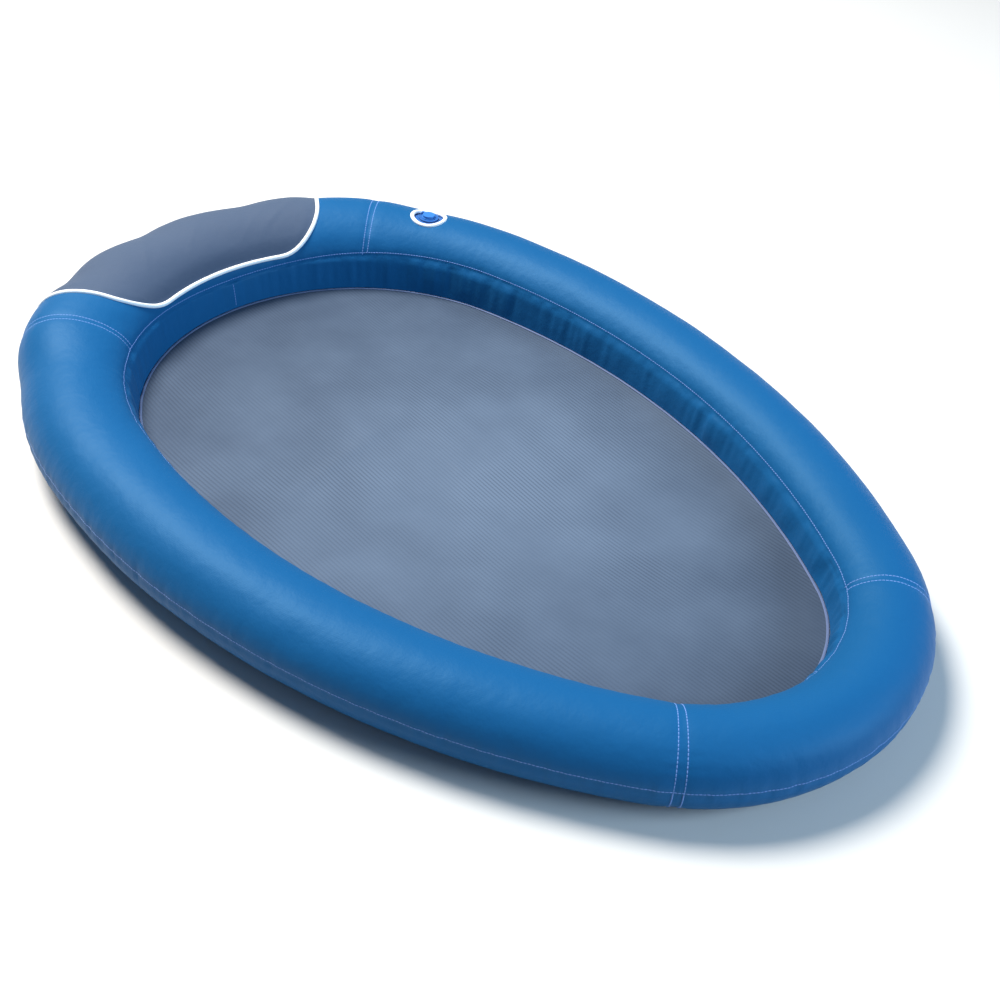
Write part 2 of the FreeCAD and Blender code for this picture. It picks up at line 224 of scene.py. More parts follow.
def swell(station, degrees):
    """How far the cover stands off the plain ellipse: slow waves, and a fuller head."""
    s = station.s
    drift = noise.noise(Vector((s * 3.1, degrees / 75, 2.0))) * 1.6 * MM
    drift += noise.noise(Vector((s * 9.0, degrees / 38, 7.0))) * 0.7 * MM
    drift += noise.noise(Vector((s * 26.0, degrees / 45, 11.0))) * 0.35 * MM
    full = smooth_step((s + 0.50) / 0.12) * smooth_step((0.62 - s) / 0.34)
    corner = CORNER_SWELL * bump(s, CORNER_SWELL_S, 0.07) * bump(degrees, 40, 40)
    held = bump(s, VALVE_S, 0.06) * bump(degrees, VALVE_ANGLE, 38)
    return (drift + HEAD_SWELL * full * bump(degrees, 31, 58) + corner) * (1 - held)


def smooth_step(x):
    x = max(0.0, min(1.0, x))
    return x * x * (3 - 2 * x)


def inner_seam(s):
    """The inner seam's angle round the tube; it drops toward the well at the head."""
    return INNER_SEAM + INNER_SEAM_AT_HEAD * bump(s, 0, 0.30)


def wall_leaves(s):
    return max(WALL_LEAVES, inner_seam(s) + 4)


# ---------------------------------------------------------------- mesh helpers

def new_piece(name, points, faces):
    mesh = bpy.data.meshes.new(name)
    mesh.from_pydata([tuple(p) for p in points], [], faces)
    mesh.validate()
    for polygon in mesh.polygons:
        polygon.use_smooth = True
    piece = bpy.data.objects.new(name, mesh)
    bpy.context.scene.collection.objects.link(piece)
    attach(piece, SHELL)
    return piece


def solidify(piece, thick):
    """Give a sheet its thickness inward; its open edges are sharp, so seams show no shading."""
    bm = bmesh.new()
    bm.from_mesh(piece.data)
    for edge in bm.edges:
        edge.smooth = not edge.is_boundary
    bm.to_mesh(piece.data)
    bm.free()
    thicken = piece.modifiers.new("cloth thickness", "SOLIDIFY")
    thicken.thickness = thick
    thicken.offset = -1.0


def grid_faces(rows, columns, wrap=False):
    """Quads between neighbouring rows; wrap joins the last row to the first."""
    faces = []
    for i in range(rows if wrap else rows - 1):
        low = i * columns
        high = ((i + 1) % rows) * columns
        for j in range(columns - 1):
            faces.append((low + j, high + j, high + j + 1, low + j + 1))
    return faces


def tube_along(name, points, radius_at, closed=False):
    """A round tube through points; each point comes with the surface normal there."""
    sides = PIPING_SIDES
    rows = []
    count = len(points)
    for i, (point, normal) in enumerate(points):
        ahead = points[(i + 1) % count][0] if closed or i + 1 < count else point
        behind = points[i - 1][0] if closed or i else point
        along = (ahead - behind).normalized()
        across = along.cross(normal).normalized()
        lift = across.cross(along)
        radius = radius_at(i)
        for k in range(sides):
            angle = 2 * math.pi * k / sides
            rows.append(point + (across * math.cos(angle) + lift * math.sin(angle)) * radius)
    faces = []
    for i in range(count if closed else count - 1):
        low, high = i * sides, ((i + 1) % count) * sides
        for k in range(sides):
            faces.append((low + k, low + (k + 1) % sides, high + (k + 1) % sides, high + k))
    if not closed:
        faces.append(tuple(range(sides - 1, -1, -1)))
        faces.append(tuple(range((count - 1) * sides, count * sides)))
    return new_piece(name, rows, faces)


# ---------------------------------------------------------------- the cover's relief

CROSS_SEAMS = (LEFT_FOOT_SEAM, LEFT_HEAD_SEAM, RIGHT_HEAD_SEAM, RIGHT_FOOT_SEAM)


def seam_place(seam, degrees):
    """A cross seam's distance along the centreline at an angle round the tube."""
    crown_s, lean = seam
    return crown_s + lean * (max(degrees, OUTER_SEAM) - 90)


def to_cross_seam(s, degrees):
    """Signed distance along the centreline from s to the nearest cross seam."""
    return min((s - seam_place(seam, degrees) for seam in CROSS_SEAMS), key=abs)


def seam_dip(distance, depth=SEAM_DIP, width=8.0 * MM):
    return -depth * math.exp(-((distance / width) ** 2))


def pucker(distance, along, seed, height=1.1 * MM, reach=20 * MM, pitch=13 * MM):
    return height * ripple(along, seed, pitch) * math.exp(-abs(distance) / reach)


def top_relief(station, degrees):
    """Height of a top panel over the ellipse: dips at its seams, puckers beside them."""
    s = station.s
    radius = (station.half_width + station.half_height) / 2
    to_outer = math.radians(degrees - OUTER_SEAM) * radius
    to_inner = math.radians(inner_seam(s) - degrees) * radius
    to_cross = to_cross_seam(s, degrees)
    relief = swell(station, degrees)
    relief += seam_dip(to_outer) + seam_dip(to_inner) + seam_dip(to_cross, CROSS_DIP, 11 * MM)
    relief += pucker(to_outer, s, 1.0, 1.0 * MM, 20 * MM, 11 * MM)
    relief += pucker(to_inner, s, 2.0, 0.75 * MM, 18 * MM)
    relief += pucker(to_cross, math.radians(degrees) * radius, 3.0, 0.5 * MM, 26 * MM, 15 * MM)
    return relief


def on_cover(station, degrees, rise=0.0):
    """A point on the finished top surface, with the plain normal there."""
    point, normal = station.on_tube(degrees)
    return point + normal * (top_relief(station, degrees) + rise), normal


def bottom_relief(station, degrees):
    """The same for a bottom panel, below the outer seam."""
    radius = (station.half_width + station.half_height) / 2
    to_outer = math.radians(OUTER_SEAM - degrees) * radius
    to_cross = to_cross_seam(station.s, degrees)
    relief = swell(station, degrees)
    relief += seam_dip(to_outer) + seam_dip(to_cross, CROSS_DIP, 11 * MM)
    relief += pucker(to_outer, station.s, 1.0, 1.0 * MM, 20 * MM, 11 * MM)
    relief += pucker(to_cross, math.radians(degrees) * radius, 3.0, 0.5 * MM, 26 * MM, 15 * MM)
    return relief


def bottom_profile(station, fraction):
    """A bottom panel's path: down the outside, over the flat underside, and up to the hem."""
    bend = 0.80
    if fraction <= bend:
        start = OUTER_SEAM
        degrees = start + (BOTTOM_LEAVES - start) * fraction / bend
        point, normal = station.on_tube(degrees)
        point = point + normal * bottom_relief(station, degrees)
        point.z = max(point.z, CLOTH * 0.2)
        return point
    leaving, normal = station.on_tube(BOTTOM_LEAVES)
    leaving.z = max(leaving.z, CLOTH * 0.2)
    way = (fraction - bend) / (1 - bend)
    hem = station.hem() - UP * 3 * MM
    sag = -math.sin(math.pi * way) * 1.5 * MM
    dip = pucker(1 - way, station.s, 9.0, 1.5 * MM, 0.5, 30 * MM) * way * (1 - way) * 2
    return leaving.lerp(hem, way) + UP * (sag + dip)


def wall_profile(station, fraction):
    """The inner wall's path: down the tube's side from the inner seam, then to the hem."""
    bend = 0.32
    s = station.s
    seam, leaves = inner_seam(s), wall_leaves(s)
    if fraction <= bend:
        point, normal = station.on_tube(seam + (leaves - seam) * fraction / bend)
    else:
        leaving, normal = station.on_tube(leaves)
        way = (fraction - bend) / (1 - bend)
        point = leaving.lerp(station.hem() + UP * 1.0 * MM, way)
    middle = math.sin(math.pi * fraction)
    folds = 2.4 * MM * ripple(s, 21.0, 36 * MM) * (0.25 + 0.75 * middle)
    folds += 1.3 * MM * ripple(s, 33.0, 16 * MM) * math.exp(-fraction / 0.5)
    folds *= 0.6 + 2.2 * max(0.0, noise.noise(Vector((s * 3.0, 3.3, 1.1))))
    at_seam_relief = top_relief(station, seam) * (1 - smooth_step(fraction / 0.3))
    return point + normal * (at_seam_relief + folds * smooth_step(fraction / 0.15) + 1.8 * MM * middle)


# ---------------------------------------------------------------- materials

def principled(name, roughness, specular=0.5):
    material = bpy.data.materials.new(name)
    material.use_nodes = True
    shader = material.node_tree.nodes["Principled BSDF"]
    shader.inputs["Roughness"].default_value = roughness
    shader.inputs["Specular IOR Level"].default_value = specular
    return material, shader


def node(tree, kind, **values):
    made = tree.nodes.new(kind)
    for key, value in values.items():
        if key in made.inputs:
            made.inputs[key].default_value = value
        else:
            setattr(made, key, value)
    return made


def object_coordinates(tree):
    return node(tree, "ShaderNodeTexCoord").outputs["Object"]


def arithmetic(tree, operation, *values, **settings):
    """One arithmetic node; each value is a number or another node's output."""
    made = node(tree, "ShaderNodeMath", operation=operation, **settings)
    for socket, value in zip(made.inputs, values):
        if isinstance(value, (int, float)):
            socket.default_value = value
        else:
            tree.links.new(value, socket)
    return made.outputs[0]


def noise_at(tree, where, **values):
    cloud = node(tree, "ShaderNodeTexNoise", **values)
    tree.links.new(where, cloud.inputs["Vector"])
    return cloud.outputs["Fac"]


def map_range(tree, value, **limits):
    """A map-range node; limits are named as on the node, with _ for a space."""
    made = node(tree, "ShaderNodeMapRange")
    for name, limit in limits.items():
        made.inputs[name.replace("_", " ")].default_value = limit
    tree.links.new(value, made.inputs["Value"])
    return made.outputs[0]


def mix_colours(tree, factor, low, high):
    mix = tree.nodes.new("ShaderNodeMix")
    mix.data_type = "RGBA"
    tree.links.new(factor, mix.inputs[0])
    for socket, value in ((mix.inputs[6], low), (mix.inputs[7], high)):
        if isinstance(value, tuple):
            socket.default_value = (*value, 1)
        else:
            tree.links.new(value, socket)
    return mix.outputs[2]


# A wave texture of scale 1 repeats every 0.314 m
WAVE_PERIOD = 0.314


def cloth_bump(tree, shader, pitch, weave_depth, wrinkle_depth):
    """A plain weave and a soft crumple, as bump on the shader."""
    where = object_coordinates(tree)
    heights = []
    for axis in ("X", "Y", "Z"):
        wave = node(tree, "ShaderNodeTexWave", Scale=WAVE_PERIOD / pitch, bands_direction=axis)
        tree.links.new(where, wave.inputs["Vector"])
        heights.append(wave.outputs["Fac"])
    height = heights[0]
    for other in heights[1:]:
        height = arithmetic(tree, "ADD", height, other)
    weave = node(tree, "ShaderNodeBump", Strength=0.35, Distance=weave_depth)
    tree.links.new(height, weave.inputs["Height"])
    crumple = noise_at(tree, where, Scale=24.0, Detail=4.0, Roughness=0.55)
    soft = node(tree, "ShaderNodeBump", Strength=0.6, Distance=wrinkle_depth)
    tree.links.new(crumple, soft.inputs["Height"])
    tree.links.new(weave.outputs["Normal"], soft.inputs["Normal"])
    tree.links.new(soft.outputs["Normal"], shader.inputs["Normal"])


def cloth_colour(tree, shader, low, high, scale=3.0):
    """Slow colour variation over the cloth, with a fine mottle from the yarn."""
    where = object_coordinates(tree)
    slow = noise_at(tree, where, Scale=scale, Detail=3.0)
    fine = noise_at(tree, where, Scale=900.0, Detail=2.0)
    blend = arithmetic(tree, "MULTIPLY_ADD", fine, 0.5, arithmetic(tree, "MULTIPLY", slow, 0.5))
    tree.links.new(mix_colours(tree, blend, low, high), shader.inputs["Base Color"])


def satin_cloth(name, low, high, gloss_tint):
    material, shader = principled(name, 0.50, 0.20)
    tree = material.node_tree
    cloth_colour(tree, shader, low, high)
    shader.inputs["Specular Tint"].default_value = (*gloss_tint, 1)
    shader.inputs["Sheen Weight"].default_value = 0.02
    shader.inputs["Sheen Roughness"].default_value = 0.4
    shader.inputs["Sheen Tint"].default_value = (*gloss_tint, 1)
    cloth_bump(tree, shader, 0.9 * MM, 0.06 * MM, 3.2 * MM)
    return material


def matte_cloth(name, low, high, pitch):
    material, shader = principled(name, 0.72, 0.3)
    tree = material.node_tree
    cloth_colour(tree, shader, low, high, 5.0)
    shader.inputs["Sheen Weight"].default_value = 0.08
    shader.inputs["Sheen Roughness"].default_value = 0.5
    cloth_bump(tree, shader, pitch, 0.09 * MM, 2.6 * MM)
    return material


# The net's two sets of yarns: direction in degrees, pitch
NET_YARNS = ((4, 6.5 * MM), (-84, 5.0 * MM))
# Painted light on the net: palest a little footward of its middle, painted shade near the walls
NET_PAINTED_LIGHT_MIDDLE = (0.0, -0.08, 0.0)
NET_PAINTED_LIGHT_REACH = 0.62


def net_holes(tree, where):
    """High in the gaps between two sets of wavering yarns."""
    waves = []
    for angle, pitch in NET_YARNS:
        turn = node(tree, "ShaderNodeMapping")
        turn.inputs["Rotation"].default_value = (0, 0, math.radians(angle))
        tree.links.new(where, turn.inputs["Vector"])
        wave = node(tree, "ShaderNodeTexWave", Scale=WAVE_PERIOD / pitch, bands_direction="X",
                    Distortion=26.0, Detail=0.0)
        wave.inputs["Detail Scale"].default_value = 0.04
        tree.links.new(turn.outputs["Vector"], wave.inputs["Vector"])
        waves.append(wave.outputs["Fac"])
    fainter = arithmetic(tree, "MULTIPLY_ADD", waves[1], 0.2, 0.8)
    return arithmetic(tree, "MULTIPLY", waves[0], fainter)


def net_yarn_with_painted_light(tree, where, low, high):
    """The yarn's colour: painted light in the middle, painted shade near the walls, soft clouds."""
    slow = noise_at(tree, where, Scale=7.0, Detail=4.0)
    # distance from the middle of the painted light; the painted shade deepens with it toward the walls
    stretch = node(tree, "ShaderNodeVectorMath", operation="DISTANCE")
    tree.links.new(where, stretch.inputs[0])
    stretch.inputs[1].default_value = NET_PAINTED_LIGHT_MIDDLE
    # painted light: 1 at the middle, 0 at the reach and beyond, where painted shade is left
    painted_light = map_range(tree, stretch.outputs["Value"], From_Min=NET_PAINTED_LIGHT_REACH, From_Max=0.0)
    blend = arithmetic(tree, "MULTIPLY_ADD", slow, 0.8, painted_light)
    return mix_colours(tree, arithmetic(tree, "MULTIPLY_ADD", blend, 1.0, -0.35, use_clamp=True),
                       low, high)


def net_cloth(name, low, high, hole):
    """Open net: small holes between yarns, painted shade seen through them, plainer in some patches."""
    material, shader = principled(name, 0.62, 0.2)
    tree = material.node_tree
    where = object_coordinates(tree)
    holes = net_holes(tree, where)
    opening = map_range(tree, holes, From_Min=0.30, From_Max=0.95, To_Max=0.48)
    patches = noise_at(tree, where, Scale=5.0, Detail=2.0)
    seen = map_range(tree, patches, From_Min=0.35, From_Max=0.65, To_Min=0.35)
    depth = arithmetic(tree, "MULTIPLY", opening, seen)
    # the hole colour is painted shade: the shade under the net, seen through its holes
    colour = mix_colours(tree, depth, net_yarn_with_painted_light(tree, where, low, high), hole)
    tree.links.new(colour, shader.inputs["Base Color"])
    relief = node(tree, "ShaderNodeBump", Strength=0.5, Distance=0.25 * MM, invert=True)
    tree.links.new(holes, relief.inputs["Height"])
    crumple = node(tree, "ShaderNodeBump", Strength=0.5, Distance=1.5 * MM)
    tree.links.new(noise_at(tree, where, Scale=14.0, Detail=4.0), crumple.inputs["Height"])
    tree.links.new(relief.outputs["Normal"], crumple.inputs["Normal"])
    tree.links.new(crumple.outputs["Normal"], shader.inputs["Normal"])
    shader.inputs["Sheen Weight"].default_value = 0.04
    return material


def plastic(name, low, high, roughness):
    material, shader = principled(name, roughness)
    tree = material.node_tree
    where = object_coordinates(tree)
    cloud = noise_at(tree, where, Scale=60.0, Detail=3.0)
    tree.links.new(mix_colours(tree, cloud, low, high), shader.inputs["Base Color"])
    grain = noise_at(tree, where, Scale=1500.0, Detail=2.0)
    relief = node(tree, "ShaderNodeBump", Strength=0.15, Distance=0.05 * MM)
    tree.links.new(grain, relief.inputs["Height"])
    tree.links.new(relief.outputs["Normal"], shader.inputs["Normal"])
    return material


def floor_material():
    material, shader = principled("studio floor", 0.85, 0.2)
    shader.inputs["Base Color"].default_value = (0.62, 0.60, 0.585, 1)
    return material


COVER_CLOTH = satin_cloth("cover cloth", (0.005, 0.075, 0.208), (0.009, 0.096, 0.252), (0.3, 0.7, 1.0))
HEADREST_CLOTH = matte_cloth("headrest cloth", (0.035, 0.059, 0.112), (0.049, 0.079, 0.140), 0.6 * MM)
# The net's last colour, for its holes, is painted shade; painted light and shade lie over its yarns
MESH_CLOTH = net_cloth("mesh cloth", (0.040, 0.062, 0.104), (0.104, 0.145, 0.215), (0.016, 0.026, 0.048))
PIPING_CLOTH = matte_cloth("piping cloth", (0.80, 0.82, 0.85), (0.90, 0.91, 0.93), 0.5 * MM)
BINDING_CLOTH = matte_cloth("binding tape", (0.09, 0.13, 0.25), (0.13, 0.17, 0.31), 0.5 * MM)
THREAD = matte_cloth("thread", (0.11, 0.22, 0.52), (0.16, 0.28, 0.60), 0.3 * MM)
FILM = plastic("air film", (0.03, 0.13, 0.38), (0.05, 0.17, 0.45), 0.28)
# Valve base and body: darker than the cap, partly own plastic and partly painted shade of the recess
VALVE = plastic("valve plastic", (0.02, 0.10, 0.34), (0.03, 0.13, 0.40), 0.35)
CAP = plastic("cap plastic", (0.03, 0.15, 0.47), (0.04, 0.19, 0.54), 0.32)
RUBBER = plastic("valve rubber", (0.03, 0.03, 0.035), (0.05, 0.05, 0.055), 0.6)


def dress(piece, material, slot):
    piece.data.materials.clear()
    piece.data.materials.append(material)
    return piece


# ---------------------------------------------------------------- the cover's panels

def strip(name, start, end, profile, rows_across):
    """A cloth strip along the tube between two cross seams; profile(station, fraction) shapes it."""
    length = end(90) - start(90)
    count = max(8, round(length / GRID))
    points = []
    for i in range(count + 1):
        for j in range(rows_across + 1):
            degrees = OUTER_SEAM + (INNER_SEAM - OUTER_SEAM) * j / rows_across
            low, high = start(degrees), end(degrees)
            points.append(profile(Station(low + (high - low) * i / count), j / rows_across))
    faces = grid_faces(count + 1, rows_across + 1)
    return new_piece(name, points, faces), strip_size(points, count, rows_across + 1)


def path_length(points):
    return sum((b - a).length for a, b in zip(points, points[1:]))


def strip_size(points, count, columns):
    """The strip's mean width and its length along the middle, as its cloth was cut."""
    widths = [path_length(points[i * columns:(i + 1) * columns]) for i in range(count + 1)]
    return sum(widths) / len(widths), path_length(points[columns // 2::columns])


def at_seam(seam, laps=0, leaning=True):
    """A panel's end as a function of the angle; laps counts whole turns round the float."""
    def end(degrees):
        return seam_place(seam, degrees if leaning else OUTER_SEAM) + laps * 2 * HALF_PATH
    return end


def panel_ends(leaning=True):
    return {
        "head": (at_seam(LEFT_HEAD_SEAM, 0, leaning), at_seam(RIGHT_HEAD_SEAM, 0, leaning)),
        "right": (at_seam(RIGHT_HEAD_SEAM, 0, leaning), at_seam(RIGHT_FOOT_SEAM, 0, leaning)),
        "foot": (at_seam(RIGHT_FOOT_SEAM, 0, leaning), at_seam(LEFT_FOOT_SEAM, 1, leaning)),
        "left": (at_seam(LEFT_FOOT_SEAM, 0, leaning), at_seam(LEFT_HEAD_SEAM, 0, leaning)),
    }


def top_profile(station, fraction):
    seam = inner_seam(station.s)
    return on_cover(station, OUTER_SEAM + (seam - OUTER_SEAM) * fraction)[0]


def finish_strip(piece, flat, slot_name, material):
    solidify(piece, CLOTH)
    dress(piece, material, slot_name)
    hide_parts(piece.name.replace("_cloth", ""))


def make_panels():
    across = round(STRIP_WIDTH / GRID)
    below = panel_ends(leaning=False)
    for name, (start, end) in panel_ends().items():
        if name != "head":
            piece, flat = strip("cover_top_" + name + "_cloth", start, end, top_profile, across)
            if name == "right":
                cut_valve_opening(piece)
            finish_strip(piece, flat, "cover_cloth", COVER_CLOTH)
        piece, flat = strip("cover_bottom_" + name + "_cloth", *below[name], bottom_profile, across)
        finish_strip(piece, flat, "cover_cloth", COVER_CLOTH)
    wall_rows = round(WALL_WIDTH / GRID)
    for name, start in (("right", 0.0), ("left", HALF_PATH)):
        ends = at_seam((start, 0)), at_seam((start + HALF_PATH, 0))
        piece, flat = strip("inner_wall_" + name + "_cloth", *ends, wall_profile, wall_rows)
        finish_strip(piece, flat, "cover_cloth", COVER_CLOTH)


def valve_axis():
    low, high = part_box("valve_body")
    return Vector(((low[0] + high[0]) / 2, (low[1] + high[1]) / 2, 0))


OPENING_MIDDLE = valve_axis()


def cut_valve_opening(piece):
    """Take the cloth away inside the round opening and pull its edge onto a circle."""
    bm = bmesh.new()
    bm.from_mesh(piece.data)
    inside = []
    for vertex in bm.verts:
        flat = Vector((vertex.co.x, vertex.co.y, 0)) - OPENING_MIDDLE
        if flat.length < OPENING_R and vertex.co.z > HALF_HEIGHT * 1.5:
            inside.append(vertex)
    bmesh.ops.delete(bm, geom=inside, context="VERTS")
    for vertex in bm.verts:
        flat = Vector((vertex.co.x, vertex.co.y, 0)) - OPENING_MIDDLE
        if vertex.is_boundary and flat.length < OPENING_R * 1.6 and vertex.co.z > HALF_HEIGHT * 1.5:
            edge = OPENING_MIDDLE + flat.normalized() * OPENING_R
            vertex.co.x, vertex.co.y = edge.x, edge.y
    bm.to_mesh(piece.data)
    bm.free()


# ---------------------------------------------------------------- headrest and piping

def headrest_side_path(side):
    """Half of the headrest's edge as points (s, out), from its inner edge to the outer seam."""
    way = 1 if side else -1
    outer_s = abs(HEADREST_OUTER_S[side])
    corner_s = abs(HEADREST_INNER_S[side])
    inner = HEADREST_INNER_OUT
    outer = Station(outer_s).half_width
    lean = math.atan2(outer_s - corner_s, outer - inner)
    half_turn = (math.pi / 2 - lean) / 2
    # the corner's arc is tangent to the inner edge and to the leaning side
    radius = HEADREST_CORNER[side]
    stretch = HEADREST_CORNER_STRETCH[side]
    middle = Vector((corner_s - stretch * radius * math.tan(half_turn), inner + radius, 0))
    path = []
    for i in range(CORNER_STEPS + 1):
        turn = 2 * half_turn * i / CORNER_STEPS - math.pi / 2
        path.append(middle + Vector((stretch * math.cos(turn), math.sin(turn), 0)) * radius)
    last, end = path[-1], Vector((outer_s, outer, 0))
    path += [last.lerp(end, (k + 1) / SIDE_STEPS) for k in range(SIDE_STEPS)]
    return [Vector((way * p.x, p.y, 0)) for p in path]


HEADREST_INNER_OUT = Station(0).half_width * math.cos(math.radians(HEADREST_INNER_ANGLE))
LEFT_SIDE, RIGHT_SIDE = headrest_side_path(0), headrest_side_path(1)


def headrest_outline():
    """Points (s, out) of the headrest's edge, from its left outer end round both corners."""
    flat = [LEFT_SIDE[0].lerp(RIGHT_SIDE[0], k / FLAT_STEPS) for k in range(1, FLAT_STEPS)]
    return LEFT_SIDE[::-1] + flat + RIGHT_SIDE


def angle_at(station, out):
    """The angle on the tube's upper half that lies at a distance outward."""
    share = max(-1.0, min(1.0, out / station.half_width))
    return math.degrees(math.acos(share))


def headrest_lumps(s, degrees):
    """The loose grey cloth stands in soft lumps over the outer side of the head."""
    lumps = sum(height * bump(s, middle, width) for middle, width, height in LUMPS)
    creases = 0.0
    for start, height in CREASES:
        across = s - start - CREASE_LEAN * (100 - degrees)
        creases += height * math.exp(-abs(across) / CREASE_WIDTH) * bump(degrees, 90, 24)
    return LUMP_HEIGHT * lumps * bump(degrees, 38, 36) + creases


def headrest_reach(s, out):
    """How far inside the headrest's side edge (s, out) is, or None beyond its inner edge."""
    if out < HEADREST_INNER_OUT:
        return None
    side = LEFT_SIDE if s < 0 else RIGHT_SIDE
    for a, b in zip(side, side[1:]):
        if a.y <= out <= b.y:
            edge = a.x + (b.x - a.x) * (out - a.y) / (b.y - a.y)
            return abs(edge) - abs(s)
    return abs(side[-1].x) - abs(s)


def split_by_headrest(faces, places):
    """The head panel's faces in two lists: those outside the headrest and those inside it."""
    outside, inside = [], []
    for face in faces:
        s = sum(places[index][0] for index in face) / len(face)
        out = sum(places[index][1] for index in face) / len(face)
        reach = headrest_reach(s, out)
        (inside if reach is not None and reach > 0 else outside).append(face)
    return outside, inside


def make_headrest():
    """The head's top panel and the headrest let into it, cut from one grid."""
    rows = round(HEAD_WIDTH / GRID)
    start, end = panel_ends()["head"]
    count = round((end(90) - start(90)) / GRID)
    points, places = [], []
    for i in range(count + 1):
        for j in range(rows + 1):
            level = OUTER_SEAM + (INNER_SEAM - OUTER_SEAM) * j / rows
            station = Station(start(level) + (end(level) - start(level)) * i / count)
            degrees = OUTER_SEAM + (inner_seam(station.s) - OUTER_SEAM) * j / rows
            points.append(head_point(station, degrees)[0])
            places.append((station.s, station.half_width * math.cos(math.radians(degrees))))
    outside, inside = split_by_headrest(grid_faces(count + 1, rows + 1), places)
    cuts = (
        ("cover_top_head", outside, COVER_CLOTH, "cover_cloth", HEAD_FLAT),
        ("headrest_panel", inside, HEADREST_CLOTH, "headrest_cloth", HEADREST_FLAT),
    )
    for name, faces, material, slot_name, flat in cuts:
        piece = new_piece(name + "_cloth", points, faces)
        drop_loose_points(piece)
        solidify(piece, CLOTH)
        dress(piece, material, slot_name)
        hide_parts(name)


def drop_loose_points(piece):
    bm = bmesh.new()
    bm.from_mesh(piece.data)
    loose = [v for v in bm.verts if not v.link_faces]
    bmesh.ops.delete(bm, geom=loose, context="VERTS")
    bm.to_mesh(piece.data)
    bm.free()


def head_point(station, degrees, rise=0.0):
    """A point on the head panel or the headrest, with the plain normal there."""
    out = station.half_width * math.cos(math.radians(degrees))
    reach = headrest_reach(station.s, out)
    lump = 0.0
    if reach is not None and reach > 0:
        inside = min(reach, out - HEADREST_INNER_OUT)
        lump = headrest_lumps(station.s, degrees) * smooth_step(reach / 0.05)
        lump += 2.0 * MM * smooth_step(inside / 0.025)
    return on_cover(station, degrees, lump + rise)


def make_headrest_piping():
    rim = []
    for p in headrest_outline():
        station = Station(p.x)
        degrees = angle_at(station, p.y)
        rim.append(head_point(station, degrees, PIPING_R * 0.4))
    rim = smooth_path(rim, 3)
    piece = tube_along("headrest_piping_cord", rim, piping_radius)
    dress(piece, PIPING_CLOTH, "piping")
    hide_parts("headrest_piping")


def piping_radius(i):
    return PIPING_R * (1 + 0.06 * noise.noise(Vector((i * 0.35, 4.0, 0))))


def smooth_path(path, times):
    for _ in range(times):
        inner = [((a[0] + 2 * b[0] + c[0]) / 4, (a[1] + 2 * b[1] + c[1]).normalized())
                 for a, b, c in zip(path, path[1:], path[2:])]
        path = [path[0], *inner, path[-1]]
    return path


def cover_near(x, y):
    """The top surface's point over a place in plan, near the valve."""
    target = Vector((x, y, 0))
    low, high = RIGHT_HEAD_SEAM[0], RIGHT_HEAD_SEAM[0] + 0.25
    for _ in range(3):
        steps = 14
        tries = [low + (high - low) * k / steps for k in range(steps + 1)]
        s = min(tries, key=lambda t: abs((target - Station(t).place).cross(Station(t).out).z))
        low, high = s - (high - low) / steps, s + (high - low) / steps
    station = Station(s)
    out = (target - station.place).dot(station.out)
    return on_cover(station, angle_at(station, out))


def make_valve_piping():
    rim = []
    steps = 64
    for i in range(steps):
        angle = 2 * math.pi * i / steps
        place = OPENING_MIDDLE + Vector((math.cos(angle), math.sin(angle), 0)) * OPENING_R
        point, normal = cover_near(place.x, place.y)
        rim.append((point + normal * PIPING_R * 0.1, normal))
    piece = tube_along("valve_opening_piping_cord", rim, piping_radius, closed=True)
    dress(piece, PIPING_CLOTH, "piping")
    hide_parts("valve_opening_piping")


# ---------------------------------------------------------------- net floor and hem

def make_mesh_floor():
    """The net, from its hem to the middle, with a slight sag and one long soft crease."""
    around, rings = 220, 46
    hems = []
    for i in range(around):
        station = Station(-HALF_PATH + 2 * HALF_PATH * i / around)
        hems.append(station.at(-HEM_REACH * station.half_width + 5 * MM, HEM_Z - 1.0 * MM))
    middle = sum(hems, Vector()) / around
    points = []
    for hem in hems:
        for j in range(rings):
            share = 1 - j / rings
            point = middle.lerp(hem, share)
            point.z = HEM_Z - 1.0 * MM + net_height(point, share)
            points.append(point)
    points.append(Vector((middle.x, middle.y, HEM_Z + net_height(middle, 0))))
    faces = grid_faces(around, rings, wrap=True)
    last = len(points) - 1
    for i in range(around):
        faces.append((i * rings + rings - 1, ((i + 1) % around) * rings + rings - 1, last))
    piece = new_piece("mesh_floor_net", points, faces)
    solidify(piece, NET_THICK)
    dress(piece, MESH_CLOTH, "mesh_cloth")
    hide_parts("mesh_floor")


def net_height(point, share):
    """Sag toward the middle, soft waves, and the long crease across the head half."""
    sag = -NET_SAG * (1 - share**2)
    waves = 1.2 * MM * noise.noise(point * 7.0) * (1 - share**4)
    across = (point.y - NET_CREASE_Y) - NET_CREASE_SLOPE * point.x
    fade = max(0.0, 1 - ((point.x - NET_CREASE_X) / NET_CREASE_REACH) ** 2)
    crease = NET_CREASE * math.exp(-abs(across) / NET_CREASE_WIDTH) * fade
    return sag + waves + crease


